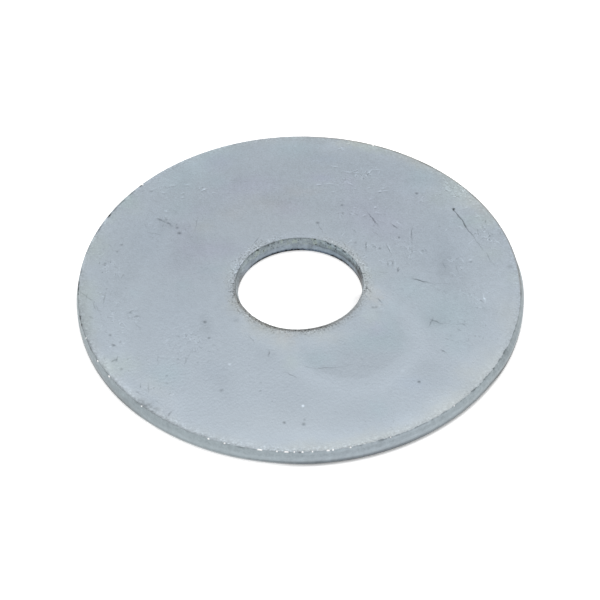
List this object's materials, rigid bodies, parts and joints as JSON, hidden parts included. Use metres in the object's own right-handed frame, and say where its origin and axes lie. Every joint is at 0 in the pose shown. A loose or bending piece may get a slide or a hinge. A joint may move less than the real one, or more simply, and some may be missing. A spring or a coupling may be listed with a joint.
{
  "type": "fender washer",
  "caption": "Wide flat washer stamped from zinc plated steel sheet, which spreads the load of a bolt's head or nut over thin or soft material.",
  "frame": {"origin": "centre of the bore at the underside, the face whose edges the die rolled over", "axes": "+Z along the bore's axis, from the underside towards the face that carries the burr; X and Y lie in the plane of the washer"},
  "size_m": [0.03, 0.03, 0.0012],
  "materials": {
    "zinc_plate": "satin bright zinc plate with a faint blue chromate tint"
  },
  "bodies": {
    "root": {"washer": "zinc_plate"}
  },
  "joints": []
}
